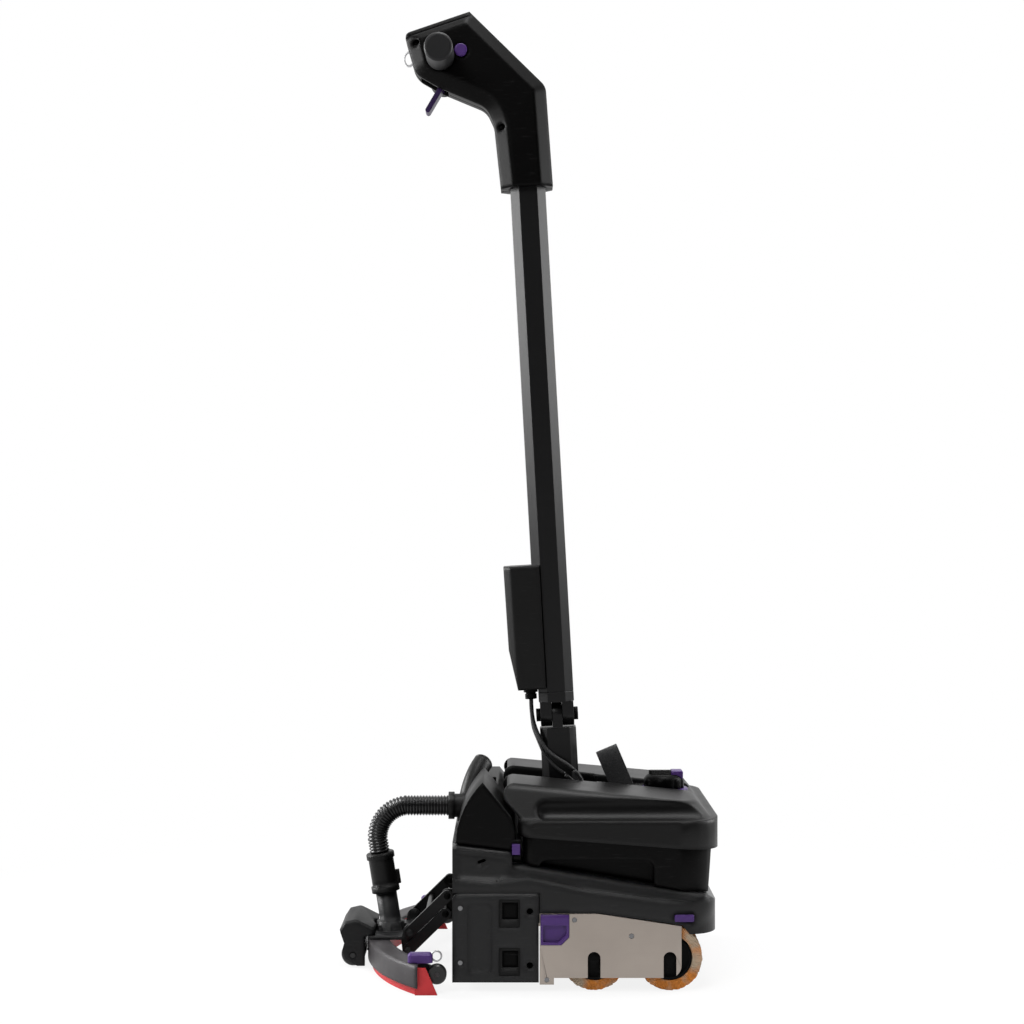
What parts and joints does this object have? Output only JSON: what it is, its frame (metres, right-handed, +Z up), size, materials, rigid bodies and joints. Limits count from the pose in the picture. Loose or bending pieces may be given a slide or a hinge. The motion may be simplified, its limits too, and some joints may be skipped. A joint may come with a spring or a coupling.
{
  "type": "upright floor scrubber",
  "caption": "Compact upright floor scrubber: cylindrical brushes under a low chassis, lift-out tank, rear squeegee on lift arms, jointed mast with T-handle.",
  "frame": {"origin": "on the floor, under the middle of the overall box", "axes": "+X forwards, the way the brushes lead, +Y to the left side, +Z up"},
  "size_m": [0.438, 0.35, 1.1332],
  "materials": {
    "charcoal_plastic": "satin moulded",
    "black_plastic": "satin moulded",
    "grey_plastic": "satin moulded",
    "violet_plastic": "semi-gloss",
    "steel": "zinc plated",
    "stainless": "brushed",
    "black_aluminium": "black anodised",
    "red_rubber": "matt",
    "black_rubber": "semi-gloss",
    "orange_bristle": "drawn filament",
    "motor_case": "black paint",
    "felt_webbing": "woven",
    "battery_cells": "shrink wrapped",
    "grip_rubber": "fine texture",
    "cable_jacket": "matt"
  },
  "bodies": {
    "chassis": {"base_frame": "black_plastic", "upper_shell": "charcoal_plastic", "side_panel_right": "charcoal_plastic", "side_panel_left": "charcoal_plastic", "brush_plate_right": "stainless", "brush_plate_left": "stainless", "chassis_screws": "steel", "brush_motor": "motor_case", "drive_belts": "black_rubber", "vacuum_motor": "black_plastic", "solution_pump": "black_plastic", "rear_cover": "grey_plastic", "suction_elbow": "black_plastic", "mast_bracket": "black_aluminium", "pivot_pins": "steel", "cables": "cable_jacket"},
    "brush_front": {"brush_core_front": "black_plastic", "bristles_front": "orange_bristle"},
    "brush_rear": {"brush_core_rear": "black_plastic", "bristles_rear": "orange_bristle"},
    "motor_drive": {"motor_pulley": "black_aluminium"},
    "plate_catch": {"brush_latch": "violet_plastic"},
    "plate_button": {"front_button": "violet_plastic"},
    "tank_catch_right": {"tank_latch_right": "violet_plastic"},
    "tank_catch_left": {"tank_latch_left": "violet_plastic"},
    "tank": {"recovery_tank": "charcoal_plastic"},
    "lid": {"tank_lid": "charcoal_plastic", "cap_ring": "violet_plastic", "strap": "felt_webbing"},
    "cap": {"filler_cap": "black_plastic"},
    "foot": {"mast_foot": "black_aluminium"},
    "mast": {"roll_bolt": "steel", "mast_fork": "black_aluminium", "mast_tube": "black_aluminium", "battery_box": "charcoal_plastic", "battery_pack": "battery_cells", "cable_gland": "black_plastic", "handlebar": "grip_rubber", "handle_shell_right": "charcoal_plastic", "handle_shell_left": "charcoal_plastic", "handle_top_cover": "charcoal_plastic", "handle_screws": "steel"},
    "thumb_right": {"thumb_button_right": "violet_plastic"},
    "thumb_left": {"thumb_button_left": "violet_plastic"},
    "hand_trigger": {"trigger": "violet_plastic"},
    "upper_link": {"upper_arms": "black_aluminium"},
    "lower_link": {"lower_arms": "black_aluminium"},
    "squeegee": {"squeegee_body": "charcoal_plastic", "squeegee_carrier": "grey_plastic", "rear_blade": "red_rubber", "front_blade": "red_rubber", "wheel_guard": "grey_plastic"},
    "hose": {"suction_hose": "black_rubber"},
    "hose_foot": {"hose_cuff": "black_plastic"},
    "knob_right": {"clamp_knob_right": "violet_plastic"},
    "knob_left": {"clamp_knob_left": "violet_plastic"},
    "end_roller_right": {"support_roller_right": "black_rubber"},
    "end_roller_left": {"support_roller_left": "black_rubber"},
    "rear_roller": {"transport_roller": "black_rubber"}
  },
  "joints": [
    {"name": "mast_pitch", "type": "hinge", "parent": "chassis", "child": "foot", "pos_m": [0.0453, 0, 0.165], "axis": [0, -1, 0], "range_deg": [0, 40], "deforming": ["cables"]},
    {"name": "mast_roll", "type": "hinge", "parent": "foot", "child": "mast", "pos_m": [0.03804, 0, 0.2948], "axis": [0.9984, 0, 0.0558], "range_deg": [-60, 60], "deforming": ["cables"]},
    {"name": "thumb_right_press", "type": "slide", "parent": "mast", "child": "thumb_right", "axis": [0, 1, 0], "range_m": [0, 0.003], "stiffness_N_per_m": 800, "springref_m": -0.001},
    {"name": "thumb_left_press", "type": "slide", "parent": "mast", "child": "thumb_left", "axis": [0, -1, 0], "range_m": [0, 0.003], "stiffness_N_per_m": 800, "springref_m": -0.001},
    {"name": "trigger_pull", "type": "hinge", "parent": "mast", "child": "hand_trigger", "pos_m": [-0.0927, 0, 1.0577], "axis": [0, 1, 0], "range_deg": [0, 18], "stiffness_Nm_per_rad": 0.5, "springref_deg": -5.73},
    {"name": "upper_arm_lift", "type": "hinge", "parent": "chassis", "child": "upper_link", "pos_m": [-0.092, 0, 0.087], "axis": [0, 1, 0], "range_deg": [0, 35]},
    {"name": "lower_arm_lift", "type": "hinge", "parent": "chassis", "child": "lower_link", "pos_m": [-0.094, 0, 0.066], "axis": [0, 1, 0], "range_deg": [0, 35]},
    {"name": "squeegee_level", "type": "hinge", "parent": "upper_link", "child": "squeegee", "pos_m": [-0.136, 0, 0.044], "axis": [0, 1, 0], "range_deg": [-35, 0]},
    {"name": "hose_swing", "type": "hinge", "parent": "chassis", "child": "hose", "pos_m": [-0.107, 0, 0.185], "axis": [0, 1, 0], "range_deg": [0, 24.5], "deforming": ["suction_hose"]},
    {"name": "hose_foot_level", "type": "hinge", "parent": "hose", "child": "hose_foot", "pos_m": [-0.17448, 0, 0.12898], "axis": [0, 1, 0], "range_deg": [-24.5, 0], "deforming": ["suction_hose"]},
    {"name": "knob_right_turn", "type": "hinge", "parent": "squeegee", "child": "knob_right", "pos_m": [-0.126, -0.156, 0.034], "axis": [0, 0, 1], "range_deg": [-90, 90]},
    {"name": "knob_left_turn", "type": "hinge", "parent": "squeegee", "child": "knob_left", "pos_m": [-0.126, 0.156, 0.034], "axis": [0, 0, 1], "range_deg": [-90, 90]},
    {"name": "end_roller_right_spin", "type": "hinge", "parent": "squeegee", "child": "end_roller_right", "pos_m": [-0.1, -0.155, 0.021], "axis": [0, 1, 0], "continuous": true},
    {"name": "end_roller_left_spin", "type": "hinge", "parent": "squeegee", "child": "end_roller_left", "pos_m": [-0.1, 0.155, 0.021], "axis": [0, 1, 0], "continuous": true},
    {"name": "rear_roller_spin", "type": "hinge", "parent": "squeegee", "child": "rear_roller", "pos_m": [-0.2035, 0, 0.015], "axis": [0, 1, 0], "continuous": true},
    {"name": "brush_front_spin", "type": "hinge", "parent": "chassis", "child": "brush_front", "pos_m": [0.161, 0, 0.037], "axis": [0, 1, 0], "continuous": true},
    {"name": "brush_rear_spin", "type": "hinge", "parent": "chassis", "child": "brush_rear", "pos_m": [0.076, 0, 0.037], "axis": [0, 1, 0], "continuous": true},
    {"name": "motor_pulley_spin", "type": "hinge", "parent": "chassis", "child": "motor_drive", "pos_m": [-0.03, 0, 0.058], "axis": [0, 1, 0], "continuous": true},
    {"name": "brush_latch_swing", "type": "hinge", "parent": "chassis", "child": "plate_catch", "pos_m": [0.03, -0.1475, 0.0829], "axis": [-1, 0, 0], "range_deg": [0, 30], "stiffness_Nm_per_rad": 0.3, "springref_deg": -5.73},
    {"name": "front_button_press", "type": "slide", "parent": "chassis", "child": "plate_button", "axis": [0, 1, 0], "range_m": [0, 0.0015], "stiffness_N_per_m": 800, "springref_m": -0.001},
    {"name": "tank_latch_right_press", "type": "slide", "parent": "chassis", "child": "tank_catch_right", "axis": [0, 1, 0], "range_m": [0, 0.0015], "stiffness_N_per_m": 800, "springref_m": -0.001},
    {"name": "tank_latch_left_press", "type": "slide", "parent": "chassis", "child": "tank_catch_left", "axis": [0, -1, 0], "range_m": [0, 0.0015], "stiffness_N_per_m": 800, "springref_m": -0.001},
    {"name": "tank_lift_out", "type": "slide", "parent": "chassis", "child": "tank", "axis": [0.9397, 0, 0.342], "range_m": [0, 0.25]},
    {"name": "lid_lift_off", "type": "slide", "parent": "tank", "child": "lid", "axis": [0, 0, 1], "range_m": [0, 0.06]},
    {"name": "cap_twist", "type": "hinge", "parent": "lid", "child": "cap", "pos_m": [0.166, 0, 0.203], "axis": [0, 0, 1], "range_deg": [0, 90]}
  ],
  "couplings": [
    {"joint": "lower_arm_lift", "follows": "upper_arm_lift", "ratio": 1},
    {"joint": "squeegee_level", "follows": "upper_arm_lift", "ratio": -1},
    {"joint": "hose_swing", "follows": "upper_arm_lift", "ratio": 0.7},
    {"joint": "hose_foot_level", "follows": "upper_arm_lift", "ratio": -0.7},
    {"joint": "brush_rear_spin", "follows": "brush_front_spin", "ratio": 1},
    {"joint": "motor_pulley_spin", "follows": "brush_front_spin", "ratio": 1.3333}
  ]
}
